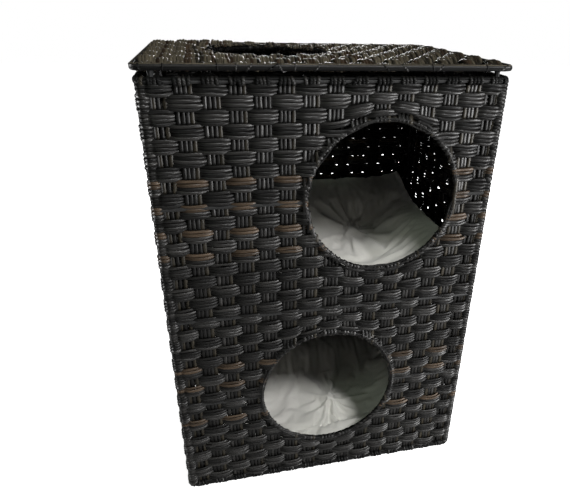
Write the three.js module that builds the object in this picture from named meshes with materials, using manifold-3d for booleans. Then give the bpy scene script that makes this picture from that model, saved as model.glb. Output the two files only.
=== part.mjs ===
// Two-storey wicker pet house: a welded wire frame with woven walls, floor, shelf and a hinged
// woven lid, two round doors in the front, a round opening in the lid and a cushion on each level.
// Millimetres, +Z up. The origin is on the ground under the centre of the body; the front faces -Y.
import * as THREE from "three";
import { mergeVertices } from "three/addons/utils/BufferGeometryUtils.js";
import Module from "manifold-3d";

const wasm = await Module();
wasm.setup();

// ---- Driving dimensions ----
const BODY = { width: 464, depth: 318, top: 650 };
const WEAVE = 9; // thickness of a woven panel of the body, over the crests of its strands
const WIRE = 3; // radius of the body's frame wire
const WRAP = 1.4; // thickness of the strand wrapped round that wire
const GAP = 0.3; // clearance between neighbouring pieces
const BEND = 9; // bend radius of a wire loop's corners
const DOOR = { radius: 103.3, wire: 2, wrap: 1 }; // clear radius, ring wire and its strand
const UPPER_DOOR = { x: 69, z: 492.6 };
const LOWER_DOOR = { x: 0, z: 175.2 };
const SHELF_Z = 325; // middle of the shelf's thickness
const CROSS_BAR_X = 76; // where the bars under the floor and the shelf run
const LEVEL_GAP = 1; // between the floor or the shelf and the walls
const LID = { frontOverhang: 1.6, sideOverhang: 1.6, z: 660.6, wire: 2.1, wrap: 0.8 };
const LID_OPENING = { x: -62, y: 20, radius: 82 };
const LID_BAR_X = 110;
const LASHING = { x: 150, width: 14, thickness: 1.2, notch: 8 };
const BUMPER = { x: 212, radius: 3.6 };
const GLIDE = { x: 218, y: 145, radius: 9, height: 4 };
const CUSHION = { width: 434, depth: 286, edge: 14, cloth: 1.2, clearance: 0.5 };
// The cushion's core, inside its rounded edge: heights, and distances in from its front or back.
const CORE = { back: 78, ledge: 28, slope: 62, sag: 24, crown: 34, crownIn: 66, nose: 28 };
const ROLL = { height: 42, in: 18 }; // the control point of the core's front roll
const ZIP = { length: 140, height: 4, z: 30 };
const LIP = 0.7; // how far past a wire's middle a wrap reaches, in wire radii
const JOIN = 0.4; // how far one solid reaches into the next where two are joined
const PAST = 60; // length of a cutter, more than it has to pass through
const WIRE_SIDES = 8;
const BEND_STEPS = 3;
const RING_STEPS = 32;

// ---- Places worked out from them ----
const wrapRadius = WIRE + GAP + WRAP;
const channel = WIRE + GAP; // radius of the room that a panel leaves for a wire
const wireX = BODY.width / 2 - WEAVE / 2;
const wireY = BODY.depth / 2 - WEAVE / 2;
const postX = wireX - BEND * (1 - Math.SQRT1_2);
const postY = wireY - BEND * (1 - Math.SQRT1_2);
const topZ = BODY.top - wrapRadius;
const bottomZ = GLIDE.height + wrapRadius;
const doorWrapRadius = DOOR.wire + GAP + DOOR.wrap;
const ringRadius = DOOR.radius + doorWrapRadius;
const innerX = BODY.width / 2 - WEAVE;
const innerY = BODY.depth / 2 - WEAVE;
const lidWrapRadius = LID.wire + GAP + LID.wrap;
const lidWireX = BODY.width / 2 + LID.sideOverhang - lidWrapRadius;
const lidFrontY = -BODY.depth / 2 - LID.frontOverhang + lidWrapRadius;
const lidBackY = BODY.depth / 2 - lidWrapRadius;
const lidMiddleY = (lidFrontY + lidBackY) / 2;
const lidWireY = (lidBackY - lidFrontY) / 2;
const lidRingRadius = LID_OPENING.radius + lidWrapRadius;

// ---- Materials ----
const paint = (color, roughness, metalness = 0) =>
  new THREE.MeshStandardMaterial({ color, roughness, metalness });
const steel = paint(0x151515, 0.45, 0.8);
const strand = paint(0x2b2825, 0.5);
const lidStrand = paint(0x4a4438, 0.55);
const rubber = paint(0x101010, 0.8);
const cloth = paint(0xcfcdc4, 0.95);
const fibre = paint(0xf2f2ee, 1);
const zipTape = paint(0xb9b7ae, 0.7);

// ---- Solids ----
const vec = (x, y, z) => new THREE.Vector3(x, y, z);

/** A closed three.js geometry as a manifold solid. */
function solid(geometry) {
  const bare = geometry.clone();
  bare.deleteAttribute("normal");
  bare.deleteAttribute("uv");
  const merged = mergeVertices(bare, 1e-3);
  const vertProperties = new Float32Array(merged.attributes.position.array);
  const triVerts = new Uint32Array(merged.index.array);
  return new wasm.Manifold(new wasm.Mesh({ numProp: 3, vertProperties, triVerts }));
}

/** A manifold solid as a three.js geometry. */
function geometryOf(shape) {
  const mesh = shape.getMesh();
  const geometry = new THREE.BufferGeometry();
  geometry.setAttribute("position", new THREE.BufferAttribute(mesh.vertProperties, 3));
  geometry.setIndex(new THREE.BufferAttribute(mesh.triVerts, 1));
  geometry.computeVertexNormals();
  return geometry;
}

/** A box between two corners. */
function block(low, high) {
  const size = high.clone().sub(low);
  const middle = low.clone().add(high).multiplyScalar(0.5);
  const box = new THREE.BoxGeometry(size.x, size.y, size.z);
  return solid(box.translate(middle.x, middle.y, middle.z));
}

/** A straight round bar between two points. */
function bar(start, end, radius) {
  const along = end.clone().sub(start);
  const middle = start.clone().add(end).multiplyScalar(0.5);
  const turn = new THREE.Quaternion().setFromUnitVectors(vec(0, 1, 0), along.clone().normalize());
  const rod = new THREE.CylinderGeometry(radius, radius, along.length(), WIRE_SIDES);
  return solid(rod.applyQuaternion(turn).translate(middle.x, middle.y, middle.z));
}

/** A rectangle with round corners, drawn in XY about the origin. */
function roundedRectangle(halfX, halfY, radius) {
  const x = halfX - radius;
  const y = halfY - radius;
  const shape = new THREE.Shape();
  shape.absarc(x, y, radius, 0, Math.PI / 2, false);
  shape.absarc(-x, y, radius, Math.PI / 2, Math.PI, false);
  shape.absarc(-x, -y, radius, Math.PI, 1.5 * Math.PI, false);
  shape.absarc(x, -y, radius, 1.5 * Math.PI, 2 * Math.PI, false);
  shape.closePath();
  return shape;
}

/** An upright prism on a rounded rectangle, between two heights. */
function roundedPrism(halfX, halfY, radius, low, high, y = 0) {
  const options = { depth: high - low, bevelEnabled: false, curveSegments: BEND_STEPS };
  const outline = roundedRectangle(halfX, halfY, radius);
  return solid(new THREE.ExtrudeGeometry(outline, options).translate(0, y, low));
}

/** A quarter bend of wire about the Z axis, from +X to +Y. */
function bend(bendRadius, radius) {
  const arc = new THREE.Curve();
  arc.getPoint = (t, target = vec(0, 0, 0)) => {
    const angle = (t * Math.PI) / 2;
    return target.set(bendRadius * Math.cos(angle), bendRadius * Math.sin(angle), 0);
  };
  const section = new THREE.Shape().absarc(0, 0, radius, 0, 2 * Math.PI);
  const options = { extrudePath: arc, steps: BEND_STEPS, curveSegments: WIRE_SIDES };
  return new THREE.ExtrudeGeometry(section, { ...options, bevelEnabled: false });
}

/** A closed wire loop with bent corners, level, about the origin. */
function wireLoop(halfX, halfY, radius) {
  const x = halfX - BEND;
  const y = halfY - BEND;
  let loop = bar(vec(-x - JOIN, -halfY, 0), vec(x + JOIN, -halfY, 0), radius);
  loop = loop.add(bar(vec(-x - JOIN, halfY, 0), vec(x + JOIN, halfY, 0), radius));
  loop = loop.add(bar(vec(-halfX, -y - JOIN, 0), vec(-halfX, y + JOIN, 0), radius));
  loop = loop.add(bar(vec(halfX, -y - JOIN, 0), vec(halfX, y + JOIN, 0), radius));
  const corners = [[x, y], [-x, y], [-x, -y], [x, -y]];
  corners.forEach(([cornerX, cornerY], quarter) => {
    const corner = bend(BEND, radius).rotateZ((quarter * Math.PI) / 2);
    loop = loop.add(solid(corner.translate(cornerX, cornerY, 0)));
  });
  return loop;
}

/** A level ring of round section about the origin. */
function ring(radius, sectionRadius) {
  return solid(new THREE.TorusGeometry(radius, sectionRadius, WIRE_SIDES, RING_STEPS));
}

/** A round cutter about a point, along Z or, when it is for an upright wall, along Y. */
function cutter(radius, middle = vec(0, 0, 0), upright = false) {
  const drum = new THREE.CylinderGeometry(radius, radius, PAST, RING_STEPS);
  if (!upright) drum.rotateX(Math.PI / 2);
  return solid(drum.translate(middle.x, middle.y, middle.z));
}

/** The strand wrapped over a level loop of wire: an open C whose gap faces up (1) or down (-1). */
function rimBinding(halfX, halfY, gapSide) {
  const far = 2 * wrapRadius;
  const low = gapSide > 0 ? WIRE * LIP : -far;
  const high = gapSide > 0 ? far : -WIRE * LIP;
  const away = roundedPrism(halfX + far, halfY + far, BEND + far, low, high);
  return wireLoop(halfX, halfY, wrapRadius).subtract(wireLoop(halfX, halfY, channel)).subtract(away);
}

/** The strand wrapped round the inside of a level wire ring: a C that opens away from the axis. */
function ringBinding(radius, wireRadius, outerRadius) {
  const wrap = ring(radius, outerRadius).subtract(ring(radius, wireRadius + GAP));
  return wrap.intersect(cutter(radius + wireRadius * LIP));
}

/** A hinge lashing's outline in (Y, Z), grown by a margin, as a band round the two back wires. */
function lashingOutline(margin) {
  const lower = wrapRadius + GAP + margin;
  const upper = lidWrapRadius + GAP + margin;
  const outline = new THREE.Path();
  outline.absarc(0, 0, lower, Math.PI, 2 * Math.PI, false);
  outline.absarc(lidBackY - wireY, LID.z - topZ, upper, 0, Math.PI, false);
  outline.closePath();
  return outline.getPoints(8);
}

/** A profile in (Y, Z) extruded along X, centred on x. */
function alongX(shape, x, length, options = {}) {
  const all = { depth: length, bevelEnabled: false, curveSegments: 6, ...options };
  const geometry = new THREE.ExtrudeGeometry(shape, all);
  return geometry.rotateX(Math.PI / 2).rotateZ(Math.PI / 2).translate(x - length / 2, 0, 0);
}

/** A band of strands lashed round the back wires of the body and the lid: the lid's hinge. */
function hingeLashing(x) {
  const shape = new THREE.Shape(lashingOutline(LASHING.thickness));
  shape.holes.push(new THREE.Path(lashingOutline(0)));
  return solid(alongX(shape, x, LASHING.width).translate(0, wireY, topZ));
}

/** The room that a woven panel leaves for one hinge lashing. */
function lashingRoom(x) {
  const shape = new THREE.Shape(lashingOutline(LASHING.thickness + GAP));
  return solid(alongX(shape, x, LASHING.width + 2 * GAP).translate(0, wireY, topZ));
}

/** The room that the lid's weave leaves round one lashing, so that it can swing past it. */
function lashingNotch(x) {
  const half = LASHING.width / 2 + GAP;
  return bar(vec(x - half, lidBackY, LID.z), vec(x + half, lidBackY, LID.z), LASHING.notch);
}

/** The side outline of a cushion's core in (Y, Z): a low seat that climbs the back wall. */
function cushionOutline() {
  const front = -CUSHION.depth / 2 + CUSHION.edge;
  const back = CUSHION.depth / 2 - CUSHION.edge;
  const outline = new THREE.Shape();
  outline.moveTo(front, CUSHION.edge);
  outline.lineTo(back, CUSHION.edge);
  outline.lineTo(back, CORE.back);
  outline.quadraticCurveTo(back - CORE.ledge, CORE.back, back - CORE.slope, (CORE.back + CORE.sag) / 2);
  outline.quadraticCurveTo(0, CORE.sag, front + CORE.crownIn, CORE.crown);
  outline.quadraticCurveTo(front + ROLL.in, ROLL.height, front, CORE.nose);
  outline.closePath();
  return outline;
}

/** A cushion's outer form, or the same form inset all round. */
function cushionBody(inset) {
  const edge = CUSHION.edge - inset;
  const bevel = { bevelEnabled: true, bevelSize: edge, bevelThickness: edge, bevelSegments: 3 };
  return solid(alongX(cushionOutline(), 0, CUSHION.width - 2 * CUSHION.edge, bevel));
}

/** The slot low in the back of a cushion's cover, where the zip goes. */
function zipStrip(clearance) {
  const x = ZIP.length / 2 + clearance;
  const low = vec(-x, CUSHION.depth / 2 - CUSHION.cloth - clearance, ZIP.z - clearance);
  return block(low, vec(x, CUSHION.depth / 2 + clearance, ZIP.z + ZIP.height + clearance));
}

// ---- Wires that run straight: name, start and end ----
const wires = [];
const beside = WIRE + GAP; // where a wire ends beside the one it is welded to

function addCrossWires(level, z) {
  for (const [side, x] of [["left", -CROSS_BAR_X], ["right", CROSS_BAR_X]]) {
    const start = vec(x, -wireY + beside, z);
    wires.push([`${level}_cross_bar_${side}`, start, vec(x, wireY - beside, z)]);
  }
}
addCrossWires("floor", bottomZ);
addCrossWires("shelf", SHELF_Z);
for (const [end, y] of [["front", -wireY], ["back", wireY]]) {
  wires.push([`shelf_${end}_bar`, vec(-postX + beside, y, SHELF_Z), vec(postX - beside, y, SHELF_Z)]);
  for (const [side, x] of [["left", -postX], ["right", postX]]) {
    const postEndY = Math.sign(y) * postY;
    const start = vec(x, postEndY, bottomZ + beside);
    wires.push([`${end}_${side}_post`, start, vec(x, postEndY, topZ - beside)]);
  }
}
for (const [side, x] of [["left", -wireX], ["right", wireX]]) {
  wires.push([`shelf_${side}_bar`, vec(x, -postY + beside, SHELF_Z), vec(x, postY - beside, SHELF_Z)]);
}
for (const [name, door] of [["upper_door", UPPER_DOOR], ["lower_door", LOWER_DOOR]]) {
  const reach = ringRadius + DOOR.wire + GAP;
  const tie = (x) => vec(x, -wireY, door.z);
  wires.push([`${name}_tie_left`, tie(-postX + beside), tie(door.x - reach)]);
  wires.push([`${name}_tie_right`, tie(door.x + reach), tie(postX - beside)]);
}

const lidBeside = LID.wire + GAP;
const lidReach = lidRingRadius + lidBeside;
const lidTie = (x) => vec(x, LID_OPENING.y, LID.z);
const lidCross = (y) => vec(LID_BAR_X, y, LID.z);
const lidWires = [
  ["lid_tie_left", lidTie(-lidWireX + lidBeside), lidTie(LID_OPENING.x - lidReach)],
  ["lid_tie_right", lidTie(LID_OPENING.x + lidReach), lidTie(LID_BAR_X - lidBeside)],
  ["lid_cross_bar", lidCross(lidFrontY + lidBeside), lidCross(lidBackY - lidBeside)],
];

/** A shape cut clear of a list of straight wires. */
function clearOf(shape, straight, radius) {
  return straight.reduce((left, [, start, end]) => {
    const past = end.clone().sub(start).normalize().multiplyScalar(GAP);
    return left.subtract(bar(start.clone().sub(past), end.clone().add(past), radius + GAP));
  }, shape);
}

// ---- Assembly ----
const house = new THREE.Group();

function place(parent, name, shape, material) {
  const mesh = new THREE.Mesh(geometryOf(shape), material);
  mesh.name = name;
  parent.add(mesh);
  return mesh;
}

/** A group at a place, whose Z axis lies along the house's Y axis when it is upright. */
function mount(x, y, z, upright = false) {
  const group = new THREE.Group();
  group.position.set(x, y, z);
  if (upright) group.rotation.x = Math.PI / 2;
  house.add(group);
  return group;
}

// Frame.
place(mount(0, 0, bottomZ), "bottom_rim_wire", wireLoop(wireX, wireY, WIRE), steel);
place(mount(0, 0, topZ), "top_rim_wire", wireLoop(wireX, wireY, WIRE), steel);
for (const [name, start, end] of wires) place(house, name, bar(start, end, WIRE), steel);
for (const [name, door] of [["upper_door", UPPER_DOOR], ["lower_door", LOWER_DOOR]]) {
  const opening = mount(door.x, -wireY, door.z, true);
  place(opening, `${name}_ring`, ring(ringRadius, DOOR.wire), steel);
  place(opening, `${name}_binding`, ringBinding(ringRadius, DOOR.wire, doorWrapRadius), strand);
}

// Rim bindings. The bottom one is notched where the cross bars meet the rim.
const bottomCuts = wires.map(([name, start, end]) =>
  [name, start.clone().setZ(start.z - bottomZ), end.clone().setZ(end.z - bottomZ)]);
const bottomBinding = clearOf(rimBinding(wireX, wireY, 1), bottomCuts, WIRE);
place(mount(0, 0, bottomZ), "bottom_rim_binding", bottomBinding, strand);
place(mount(0, 0, topZ), "top_rim_binding", rimBinding(wireX, wireY, -1), strand);

// Woven walls: full-width front and back, and sides between them.
const wallLow = bottomZ + channel;
const wallHigh = topZ - channel;
const hull = roundedPrism(BODY.width / 2, BODY.depth / 2, BEND + WEAVE / 2, wallLow, wallHigh);
const lashings = [-LASHING.x, LASHING.x].map(lashingRoom);
function wall(low, high, cuts) {
  const plate = cuts.reduce((left, cut) => left.subtract(cut), block(low, high).intersect(hull));
  return clearOf(plate, wires, WIRE);
}
const doorHoles = [UPPER_DOOR, LOWER_DOOR].map((door) =>
  cutter(ringRadius + DOOR.wire + GAP, vec(door.x, -wireY, door.z), true));
const outX = BODY.width / 2;
const outY = BODY.depth / 2;
const front = wall(vec(-outX, -outY, wallLow), vec(outX, -innerY, wallHigh), doorHoles);
const back = wall(vec(-outX, innerY, wallLow), vec(outX, outY, wallHigh), lashings);
const sideY = innerY - GAP;
const left = wall(vec(-outX, -sideY, wallLow), vec(-innerX, sideY, wallHigh), []);
const right = wall(vec(innerX, -sideY, wallLow), vec(outX, sideY, wallHigh), []);
place(house, "front_weave", front, strand);
place(house, "back_weave", back, strand);
place(house, "left_weave", left, strand);
place(house, "right_weave", right, strand);

// Woven floor and shelf, carried on their cross bars.
for (const [name, z] of [["floor_weave", bottomZ], ["shelf_weave", SHELF_Z]]) {
  const low = z - WEAVE / 2;
  const plate = roundedPrism(innerX - LEVEL_GAP, innerY - LEVEL_GAP, BEND / 2, low, low + WEAVE);
  place(house, name, clearOf(plate, wires, WIRE), strand);
}

// Lid: its own loop, ring and bars, with a weave between them and a wrapped edge.
const lid = mount(0, lidMiddleY, LID.z);
const lidOpening = mount(LID_OPENING.x, LID_OPENING.y, LID.z);
place(lid, "lid_rim_wire", wireLoop(lidWireX, lidWireY, LID.wire), steel);
place(lidOpening, "lid_opening_ring", ring(lidRingRadius, LID.wire), steel);
const lidWrap = ringBinding(lidRingRadius, LID.wire, lidWrapRadius);
place(lidOpening, "lid_opening_binding", lidWrap, lidStrand);
for (const [name, start, end] of lidWires) place(house, name, bar(start, end, LID.wire), steel);

const lidLip = LID.wire * LIP;
const lidInside = roundedPrism(lidWireX - lidLip, lidWireY - lidLip, BEND - lidLip, -PAST / 2, PAST / 2);
const lidEdge = wireLoop(lidWireX, lidWireY, lidWrapRadius)
  .subtract(wireLoop(lidWireX, lidWireY, LID.wire + GAP))
  .subtract(lidInside);
place(lid, "lid_rim_binding", lidEdge, lidStrand);

const lidX = lidWireX - lidBeside;
const lidY = lidWireY - lidBeside;
const lidLow = LID.z - lidWrapRadius;
const lidHigh = LID.z + lidWrapRadius;
const lidPlate = roundedPrism(lidX, lidY, BEND - lidBeside, lidLow, lidHigh, lidMiddleY)
  .subtract(cutter(lidRingRadius + lidBeside, vec(LID_OPENING.x, LID_OPENING.y, LID.z)))
  .subtract(lashingNotch(-LASHING.x))
  .subtract(lashingNotch(LASHING.x));
place(house, "lid_weave", clearOf(lidPlate, lidWires, LID.wire), lidStrand);

for (const [side, sign] of [["left", -1], ["right", 1]]) {
  place(house, `hinge_lashing_${side}`, hingeLashing(sign * LASHING.x), strand);
  const low = vec(sign * BUMPER.x, -wireY, BODY.top + GAP);
  const high = vec(sign * BUMPER.x, -wireY, lidLow - GAP);
  place(house, `lid_bumper_${side}`, bar(low, high, BUMPER.radius), rubber);
}

// Glides under the corners.
for (const [end, signY] of [["front", -1], ["back", 1]]) {
  for (const [side, signX] of [["left", -1], ["right", 1]]) {
    const foot = vec(signX * GLIDE.x, signY * GLIDE.y, 0);
    const top = foot.clone().setZ(GLIDE.height - GAP);
    place(house, `${end}_${side}_glide`, bar(foot, top, GLIDE.radius), rubber);
  }
}

// Cushions: a sewn cover with a zip low in its back, round a loose filling.
for (const [level, z] of [["lower", bottomZ], ["upper", SHELF_Z]]) {
  const seat = mount(0, 0, z + WEAVE / 2 + CUSHION.clearance);
  const cover = cushionBody(0).subtract(cushionBody(CUSHION.cloth)).subtract(zipStrip(GAP));
  place(seat, `${level}_cushion_cover`, cover, cloth);
  place(seat, `${level}_cushion_filling`, cushionBody(CUSHION.cloth + GAP), fibre);
  place(seat, `${level}_cushion_zip`, zipStrip(0), zipTape);
}

export default house;
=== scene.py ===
"""Two-storey wicker pet house: woven strands, wrapped rims and padded cushions round the CAD frame."""
import math

import bpy
import numpy as np
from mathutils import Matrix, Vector


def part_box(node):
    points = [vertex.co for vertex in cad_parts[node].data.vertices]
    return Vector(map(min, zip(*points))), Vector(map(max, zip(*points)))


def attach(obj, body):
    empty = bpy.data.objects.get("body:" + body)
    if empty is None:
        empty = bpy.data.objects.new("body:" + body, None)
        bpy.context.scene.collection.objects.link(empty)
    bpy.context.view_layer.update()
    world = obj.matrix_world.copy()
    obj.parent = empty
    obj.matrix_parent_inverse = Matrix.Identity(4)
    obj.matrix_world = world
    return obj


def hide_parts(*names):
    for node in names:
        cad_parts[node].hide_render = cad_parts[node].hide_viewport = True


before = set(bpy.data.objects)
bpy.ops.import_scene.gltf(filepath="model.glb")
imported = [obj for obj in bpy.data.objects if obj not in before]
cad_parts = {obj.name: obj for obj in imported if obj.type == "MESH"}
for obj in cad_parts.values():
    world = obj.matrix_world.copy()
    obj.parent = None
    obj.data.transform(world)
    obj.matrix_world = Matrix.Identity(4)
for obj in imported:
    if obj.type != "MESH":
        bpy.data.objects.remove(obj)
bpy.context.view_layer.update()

MM = 0.001
rng = np.random.default_rng(7)

# ---- Places taken from the CAD frame ----


def box(node):
    """A node's lowest and highest corners."""
    low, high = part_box(node)
    return np.array(low), np.array(high)


def centre(node):
    low, high = box(node)
    return (low + high) / 2


def size(node):
    low, high = box(node)
    return high - low


WALL_X = centre("right_weave")[0]  # the walls' middle surfaces
WALL_Y = centre("back_weave")[1]
WEAVE = size("front_weave")[1]
HALF_X = WALL_X + WEAVE / 2
HALF_Y = WALL_Y + WEAVE / 2
WIRE = size("front_left_post")[0] / 2
TOP_Z = centre("top_rim_wire")[2]
BOTTOM_Z = centre("bottom_rim_wire")[2]
BODY_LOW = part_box("bottom_rim_binding")[0][2]
BODY_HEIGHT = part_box("top_rim_binding")[1][2] - BODY_LOW
LID_Z = centre("lid_weave")[2]
LID_WIRE = size("lid_cross_bar")[0] / 2
CORNER = 9 * MM  # bend radius of the wall's middle surface


def ring_of(node, wire):
    """The centre of a ring and the radius of its wire's middle line."""
    return centre(node), size(node)[0] / 2 - wire


DOOR_WIRE = size("upper_door_ring")[1] / 2
UPPER_DOOR, DOOR_RING = ring_of("upper_door_ring", DOOR_WIRE)
LOWER_DOOR, _ = ring_of("lower_door_ring", DOOR_WIRE)
LID_OPENING, LID_RING = ring_of("lid_opening_ring", LID_WIRE)

# ---- The weave's driving dimensions ----
FRONT_PITCHES = 16  # stake pitches across the front and the back
SIDE_PITCHES = 11
LOOP_PITCHES = 2 * (FRONT_PITCHES + SIDE_PITCHES)
# The columns where each wall begins and ends, counted round the house from the front left corner.
WALLS = {
    "front": (0, FRONT_PITCHES),
    "right": (FRONT_PITCHES, FRONT_PITCHES + SIDE_PITCHES),
    "back": (FRONT_PITCHES + SIDE_PITCHES, 2 * FRONT_PITCHES + SIDE_PITCHES),
    "left": (2 * FRONT_PITCHES + SIDE_PITCHES, LOOP_PITCHES),
}
END_PITCH = 0.62  # from a corner's outside to the nearest stake, in pitches
EASED_STAKES = 6  # pitches at the front's left end whose stakes are moved to the right
EASE = 3.8 * MM  # how far the middle one is moved
COURSES = 38
COURSE_PITCH = 16.73 * MM
FIRST_COURSE = BODY_LOW + 0.9815 * BODY_HEIGHT
STRAND_WIDTH = 5.3 * MM
STRAND_THICK = 2.4 * MM
BUNDLE = 4  # strands in a course and in a stake
LANES = np.linspace(1, -1, BUNDLE)  # each strand's place across its bundle
COURSE_SPACING = 4.3 * MM
CREST = 3.6 * MM  # how far a course stands off where it crosses a stake
CREST_SPREAD = 0.03  # how much wider a course is at its crests
DIVE_SPREAD = 0.04  # the same where it passes between stakes
CREST_ROUND = 0.7 * MM  # how far its outer strands lie behind its middle on a crest
CREST_LEAN = 0.32  # how far they turn outward there, in radians
CORNER_OUT = 5.8 * MM  # how far courses stand off at a corner, where they wrap the post
CORNER_REACH = 0.42  # how far from the corner it does so, in pitches
FULL_PACKING = 1.05  # how far the strands of a course are spread, over their spacing
BACK_SLACK = 0.135  # how much closer together they lie on the back wall
BACK_TIGHTER = 0.6  # the share of that slack that goes again towards the left end of the house,
BACK_TIGHTER_FROM = 6  # from this pitch of the back wall on,
BACK_TIGHTER_OVER = 3  # over this many
BACK_CLIMB = 3.6 * MM  # how much higher the courses lie on the back wall
CLIMB_COURSES = 2.5  # how many courses below the rim reach that climb
TURN_REACH = 9 * MM  # how far from a ring its strands start to rise over it
TURN_OVER = 1.6 * MM  # how far from a ring's wire they turn over it
PASS = np.array([0.0, 0.22, 0.37, 0.5, 0.63, 0.78])  # samples along a strand from stake to stake
STAKE_SPACING = 4.45 * MM
STAKE_WIDTH = 4.7 * MM
STAKE_THICK = 2.2 * MM
STAKE_DEPTH = 1.5 * MM  # how far the stakes lie behind the wall's middle surface
STAKE_SWAY = 0.5 * MM  # how far the courses push them in and out
STAKE_SPREAD = {"front": 1.2, "right": 1.02, "back": 1.05, "left": 1.15}

# How courses bow round an opening: from the share of its ring's radius where they still run straight to
# the height over it where they do again, past an edge outside the ring, with a soft change between.
BOW_KEEP = 0.88
BOW_REACH = 34 * MM
BOW_EDGE = 3 * MM
BOW_SOFT = 5 * MM

# How far chance moves strands. A course: its height, its spread, each strand's height, where it crosses,
# how far it stands off and how far it turns. A stake's strands: sideways, in and out, and round.
COURSE_DRIFT = 0.38 * MM
COURSE_SQUEEZE = 0.03
COURSE_JITTER = 0.24 * MM
COURSE_SHIFT = 0.035
COURSE_RISE = 0.28 * MM
COURSE_TURN = 0.14
STAKE_WOBBLE = 0.25 * MM
STAKE_RISE = 0.15 * MM
STAKE_TURN = 0.08

# Tones that a strand can have, read by the wicker material, and the courses that are brown.
# The lightest tone, tan, is partly painted light: it stands for the light and sheen that the lid's top
# catches.
BLACK, CHARCOAL, GRAPHITE, OLIVE, BROWN, LIT_TAN = 0.0, 0.2, 0.4, 0.6, 0.8, 1.0
BROWN_ALL_ROUND = (8, 10, 12, 14)
BROWN_LEFT = (25, 27, 31)  # to the left of the front's middle, beside the lower door
BROWN_RIGHT = (26, 28, 32)

# ---- The lid's, shelf's and floor's driving dimensions ----
FLAT_COURSES = 26
FLAT_PACKING = 0.95  # how far the strands of a course fill its room
LID_COLUMNS = 11  # stake pitches from front to back
LEVEL_COLUMNS = 10
LID_RELIEF = 6.6 * MM
LID_TURN_OVER = 1.4 * MM  # how far from its opening's wire the lid's strands turn over it
BULGE_RISE = 4 * MM  # how far the lid's weave stands proud at its bulge
BULGE = (-150 * MM, 105 * MM)  # the middle of the bulge
BULGE_REACH = 80 * MM
NOTCH_DEPTH = 0.37  # how far the lid's courses stop before its back edge beside a lashing, in pitches
NOTCH_ROOM = 1 * MM  # how far from a lashing they may run on

# ---- The rims' driving dimensions: angles in degrees round a wire, 0 outward and 90 up ----
RAIL_OVER = 1.0 * MM  # how far rails lie over a wire, or over a ring's turns
RAIL_SIZE = (4.4 * MM, 1.9 * MM)  # width and thickness
TOP_RAILS = (62, 102, 145, 190)
BOTTOM_RAILS = (20, -22, -62, -102, -145, 170)
CORDS = [(8.2 * MM, (72, 108)), (5.8 * MM, (90,))]  # along the back under the lid: from the wire, angles
CORD_SIZE = (4.4 * MM, 3.2 * MM)
# The strands along the lid's edge: how far over its wire, how wide and thick, each one's angle and tone.
# The graphite and tan strands over its top paint the light band along it, and the black ones round its
# front and underside paint its shade.
LID_RAILS = [
    (1.0 * MM, (3.6 * MM, 1.6 * MM), [(-75, BLACK), (-38, BLACK), (0, BLACK), (250, BLACK), (215, BLACK)]),
    (1.6 * MM, (3.2 * MM, 1.6 * MM), [(40, GRAPHITE), (72, LIT_TAN), (104, GRAPHITE)]),
]
RING_RAILS = (75, 130)
RING_RAIL_SIZE = (3.4 * MM, 1.5 * MM)
# The turns of strand over a wire: how far over it, and their width and thickness.
RIM_TURNS = (2.1 * MM, (4.6 * MM, 1.5 * MM))
LID_TURNS = (2.0 * MM, (2.6 * MM, 1.2 * MM))
DOOR_TURNS = (0.8 * MM, (5.6 * MM, 1.2 * MM))
OPENING_TURNS = (1.0 * MM, (5.6 * MM, 1.2 * MM))
DOOR_TURN_PITCH = 4.3 * MM
OPENING_TURN_PITCH = 4.4 * MM
TURN_SPACING = 0.24  # between the strands of the bundles over the body's rims, in pitches
LID_TURN_PLACES = 92
LID_PLACES_EMPTY = 0.4  # the share of those places that have no turn

# ---- The cushions' driving dimensions ----
PAD_GRID = (96, 64)
PAD_SEAT = 60 * MM
PAD_SIDE = 18 * MM  # how far a pad climbs the side walls
PAD_EDGE = 26 * MM  # height of the seam round the pad
PAD_TUFT = 26 * MM  # how deep the tuft is drawn in
TUFT_REACH = 0.24  # half the tuft's width, over half the pad's depth
TUFT_STRETCH = 1.5  # the pad's width over its depth
PAD_ROOM = 1.5 * MM  # from the pad's box to the walls that it presses against
PAD_HEADROOM = 60 * MM
PAD_STUFFING = 0.12  # how firmly the filling holds the cover's upper face to its form
PAD_HIGH_STUFFING = 0.45  # the same against the back wall
CLOTH_GAP = 1 * MM
CLOTH_FRAMES = 30
CLOTH = {
    "quality": 5,
    "mass": 0.15,
    "air_damping": 2.0,
    "tension_stiffness": 12,
    "compression_stiffness": 12,
    "shear_stiffness": 4,
    "bending_stiffness": 0.15,
    "shrink_min": -0.12,  # the cover is cut this much larger than its form
    "use_pressure": True,
    "uniform_pressure_force": 2.5,
    "vertex_group_mass": "firm",
}

# How far a pad climbs the back wall and its corners, the place of its tuft, and the creases that run out
# from the tuft: direction, half width, depth and length over half the pad's depth.
PADS = {
    "upper": {
        "back": 40 * MM, "peak": 10 * MM, "tuft": (0.40, 0.30),
        "creases": [(0.30, 0.16, 14 * MM, 0.7), (1.75, 0.16, 10 * MM, 0.5), (2.75, 0.10, 9 * MM, 0.6),
                    (3.25, 0.12, 12 * MM, 0.9), (4.75, 0.13, 15 * MM, 0.9), (5.60, 0.15, 12 * MM, 0.7)],
    },
    "lower": {
        "back": 34 * MM, "peak": 0.0, "tuft": (0.17, -0.25),
        "creases": [(0.25, 0.15, 9 * MM, 0.5), (1.10, 0.12, 14 * MM, 1.0), (2.40, 0.15, 9 * MM, 0.6),
                    (3.40, 0.12, 8 * MM, 0.5), (4.35, 0.12, 14 * MM, 0.8), (5.20, 0.16, 10 * MM, 0.4),
                    (5.75, 0.12, 10 * MM, 0.4)],
    },
}

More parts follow.
